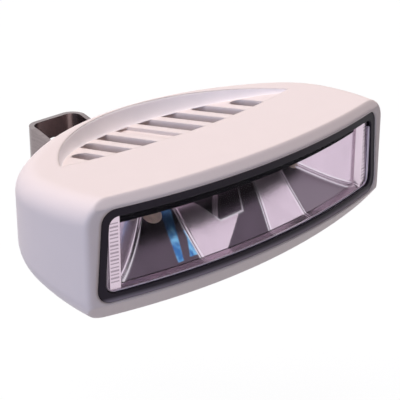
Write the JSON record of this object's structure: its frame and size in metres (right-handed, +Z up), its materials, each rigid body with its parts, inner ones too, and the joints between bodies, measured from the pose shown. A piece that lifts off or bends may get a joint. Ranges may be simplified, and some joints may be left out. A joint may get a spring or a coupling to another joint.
{
  "type": "led spotlight",
  "caption": "Compact marine work light: D-shaped cast head with a wide bent lens over twin reflectors, cooling slots in a scoop on top, and a tilting strap bracket behind.",
  "frame": {"origin": "centre of the bolt hole in the bracket's web, on the face that meets the wall", "axes": "+X to the right seen from the front, +Y from the lamp back into the wall, +Z up; the lamp shines towards -Y"},
  "size_m": [0.142, 0.117, 0.0458],
  "materials": {
    "powder_coat": "satin",
    "stainless": "satin",
    "lens_clear": "gloss",
    "seal_black": "satin",
    "frame_black": "matt",
    "reflector_bright": "mirror",
    "board_white": "matt solder mask",
    "pad_grey": "matt",
    "led_yellow": "gloss",
    "coil_dark": "matt",
    "capacitor_can": "satin",
    "chip_black": "matt",
    "terminal_green": "satin",
    "screw_zinc": "satin",
    "breather_grey": "satin",
    "bush_bronze": "satin",
    "washer_nylon": "satin"
  },
  "bodies": {
    "bracket": {"bracket_strap": "stainless", "pivot_bolt": "stainless", "pivot_nut": "stainless", "pivot_washers": "stainless", "friction_washers": "washer_nylon"},
    "lamp_head": {"housing": "powder_coat", "lens": "lens_clear", "lens_gasket": "seal_black", "bezel_frame": "frame_black", "reflector_left": "reflector_bright", "reflector_right": "reflector_bright", "reflector_divider": "reflector_bright", "main_board": "board_white", "thermal_pad": "pad_grey", "led_group_left": "led_yellow", "led_group_right": "led_yellow", "driver_coil": "coil_dark", "driver_capacitors": "capacitor_can", "driver_chips": "chip_black", "supply_terminal": "terminal_green", "board_screws": "screw_zinc", "cable_grommet": "seal_black", "breather_plug": "breather_grey", "pivot_bush": "bush_bronze"}
  },
  "joints": [
    {"name": "head_tilt", "type": "hinge", "parent": "bracket", "child": "lamp_head", "pos_m": [0, -0.032, -0.0054], "axis": [1, 0, 0], "range_deg": [-45, 90]}
  ]
}
